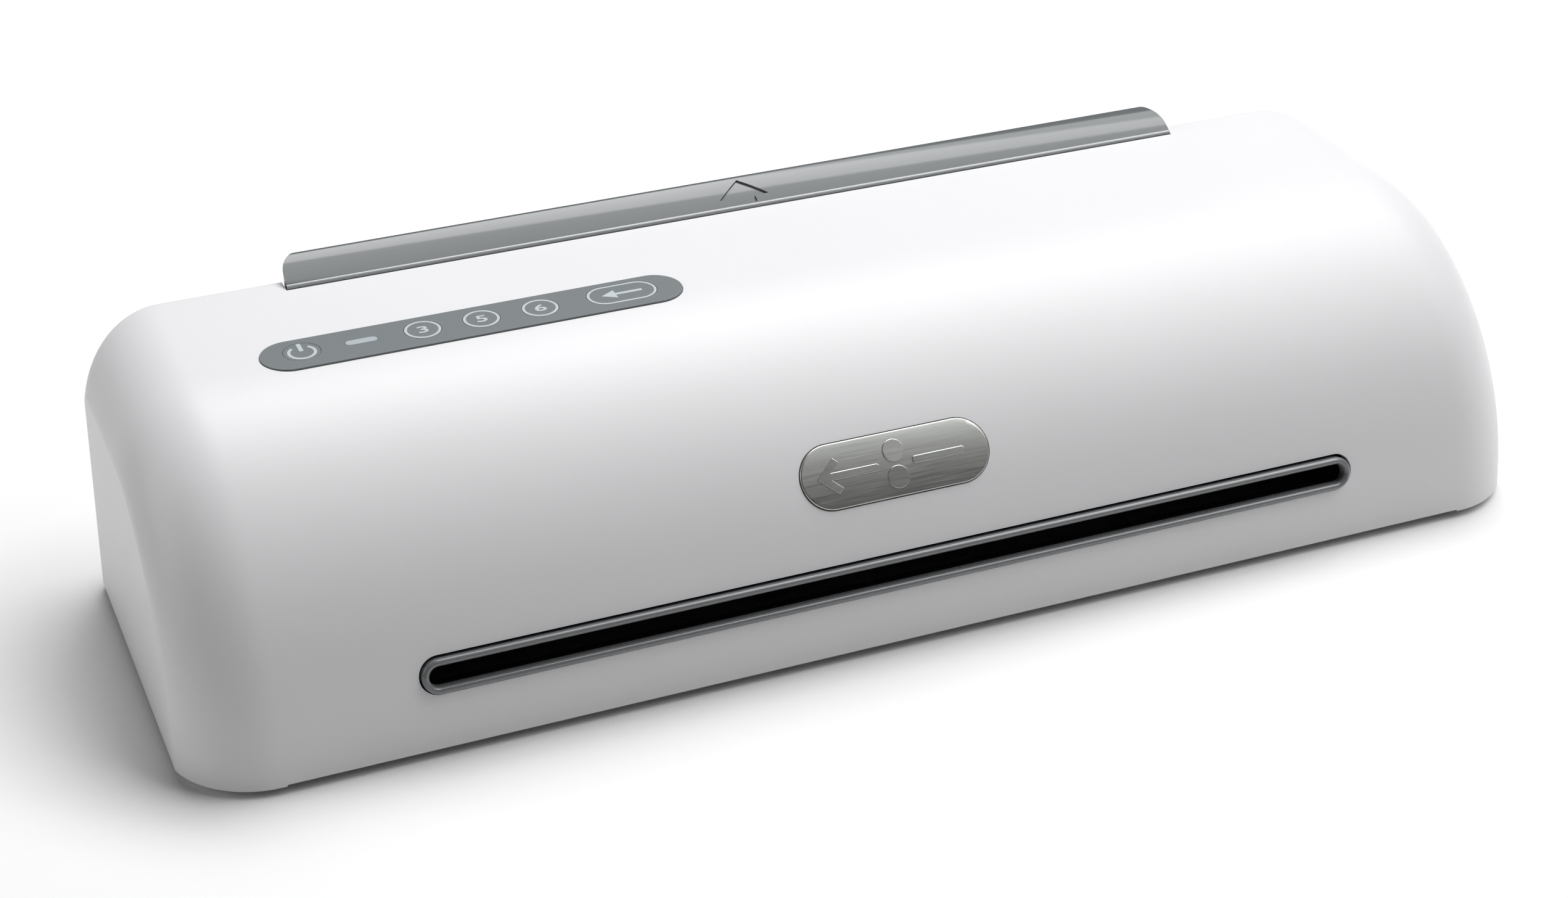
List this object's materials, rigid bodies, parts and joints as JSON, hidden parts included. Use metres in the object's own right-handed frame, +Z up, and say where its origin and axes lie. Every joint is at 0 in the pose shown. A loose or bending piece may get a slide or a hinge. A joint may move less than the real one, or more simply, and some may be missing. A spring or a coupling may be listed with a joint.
{
  "type": "pouch laminator",
  "caption": "Desktop pouch laminator: bowed white housing, front exit slot, folding rear feed tray, key panel, heated roller pair driven by a gear motor.",
  "frame": {"origin": "on the resting surface, under the centre of the whole machine", "axes": "+X along the exit slot to the right seen from the exit side, +Y towards the feed tray at the rear, +Z up"},
  "size_m": [0.354, 0.116, 0.0767],
  "materials": {
    "housing_white": "gloss",
    "base_white": "fine texture",
    "foot_rubber": "matt",
    "screw_steel": "zinc plated",
    "gland_rubber": "matt",
    "badge_metal": "fine brushed",
    "bezel_grey": "satin",
    "guide_black": "matt",
    "tray_grey": "gloss",
    "pin_steel": "ground",
    "panel_grey": "satin film",
    "lens_clear": "frosted",
    "board_green": "solder mask",
    "switch_black": "matt",
    "led_green": "clear tinted",
    "ribbon_grey": "matt",
    "transformer_tape": "taped",
    "relay_blue": "matt",
    "capacitor_dark": "sleeved",
    "terminal_green": "matt",
    "chassis_steel": "zinc plated",
    "roller_silicone": "smooth silicone",
    "shaft_steel": "ground",
    "gear_nylon": "moulded",
    "bush_plastic": "moulded",
    "heat_aluminium": "mill",
    "heater_mica": "mica",
    "thermostat_metal": "pressed",
    "fuse_ceramic": "matt",
    "motor_zinc": "zinc passivated"
  },
  "bodies": {
    "housing": {"top_cover": "housing_white", "base_tray": "base_white", "rubber_feet": "foot_rubber", "case_screws": "screw_steel", "cord_gland": "gland_rubber", "badge_plate": "badge_metal", "exit_bezel": "bezel_grey", "exit_guide_upper": "guide_black", "exit_guide_lower": "guide_black", "infeed_frame": "guide_black", "tray_hinge_pins": "pin_steel", "control_overlay": "panel_grey", "ready_lens": "lens_clear", "control_board": "board_green", "key_switches": "switch_black", "ready_led": "led_green", "panel_ribbon": "ribbon_grey", "main_board": "board_green", "transformer": "transformer_tape", "relay": "relay_blue", "smoothing_capacitor": "capacitor_dark", "terminal_block": "terminal_green", "board_screws": "screw_steel", "side_plate_left": "chassis_steel", "side_plate_right": "chassis_steel", "tie_bars": "chassis_steel", "chassis_screws": "screw_steel", "upper_bushes": "bush_plastic", "lower_bushes": "bush_plastic", "pinch_springs": "shaft_steel", "upper_heat_plate": "heat_aluminium", "lower_heat_plate": "heat_aluminium", "upper_heater": "heater_mica", "lower_heater": "heater_mica", "thermostat": "thermostat_metal", "thermal_fuse": "fuse_ceramic", "motor_bracket": "chassis_steel", "motor": "motor_zinc", "motor_screws": "screw_steel"},
    "feed_tray": {"feed_tray": "tray_grey"},
    "power_key": {"power_key": "panel_grey"},
    "key_3": {"key_3": "panel_grey"},
    "key_5": {"key_5": "panel_grey"},
    "key_6": {"key_6": "panel_grey"},
    "reverse_key": {"reverse_key": "panel_grey"},
    "upper_roller": {"upper_roller": "roller_silicone", "upper_roller_shaft": "shaft_steel", "upper_gear": "gear_nylon", "upper_clips": "shaft_steel"},
    "lower_roller": {"lower_roller": "roller_silicone", "lower_roller_shaft": "shaft_steel", "lower_gear": "gear_nylon", "lower_clips": "shaft_steel"},
    "motor_pinion": {"motor_pinion": "gear_nylon"}
  },
  "joints": [
    {"name": "feed_tray_fold", "type": "hinge", "parent": "housing", "child": "feed_tray", "pos_m": [0, 0.0508, 0.0368], "axis": [-1, 0, 0], "range_deg": [0, 80]},
    {"name": "power_key_press", "type": "slide", "parent": "housing", "child": "power_key", "axis": [0, 0, -1], "range_m": [0, 0.0005], "stiffness_N_per_m": 800, "springref_m": -0.0002},
    {"name": "key_3_press", "type": "slide", "parent": "housing", "child": "key_3", "axis": [0, 0, -1], "range_m": [0, 0.0005], "stiffness_N_per_m": 800, "springref_m": -0.0002},
    {"name": "key_5_press", "type": "slide", "parent": "housing", "child": "key_5", "axis": [0, 0, -1], "range_m": [0, 0.0005], "stiffness_N_per_m": 800, "springref_m": -0.0002},
    {"name": "key_6_press", "type": "slide", "parent": "housing", "child": "key_6", "axis": [0, 0, -1], "range_m": [0, 0.0005], "stiffness_N_per_m": 800, "springref_m": -0.0002},
    {"name": "reverse_key_press", "type": "slide", "parent": "housing", "child": "reverse_key", "axis": [0, 0, -1], "range_m": [0, 0.0005], "stiffness_N_per_m": 800, "springref_m": -0.0002},
    {"name": "lower_roller_spin", "type": "hinge", "parent": "housing", "child": "lower_roller", "pos_m": [0.00014, 0.00232, 0.02113], "axis": [1, 0, 0], "continuous": true},
    {"name": "upper_roller_spin", "type": "hinge", "parent": "housing", "child": "upper_roller", "pos_m": [0.00014, -0.00232, 0.04294], "axis": [1, 0, 0], "continuous": true},
    {"name": "motor_pinion_spin", "type": "hinge", "parent": "housing", "child": "motor_pinion", "pos_m": [0.00014, 0.01698, 0.03199], "axis": [1, 0, 0], "continuous": true}
  ],
  "couplings": [
    {"joint": "upper_roller_spin", "follows": "lower_roller_spin", "ratio": -1},
    {"joint": "motor_pinion_spin", "follows": "lower_roller_spin", "ratio": -1.5714}
  ]
}
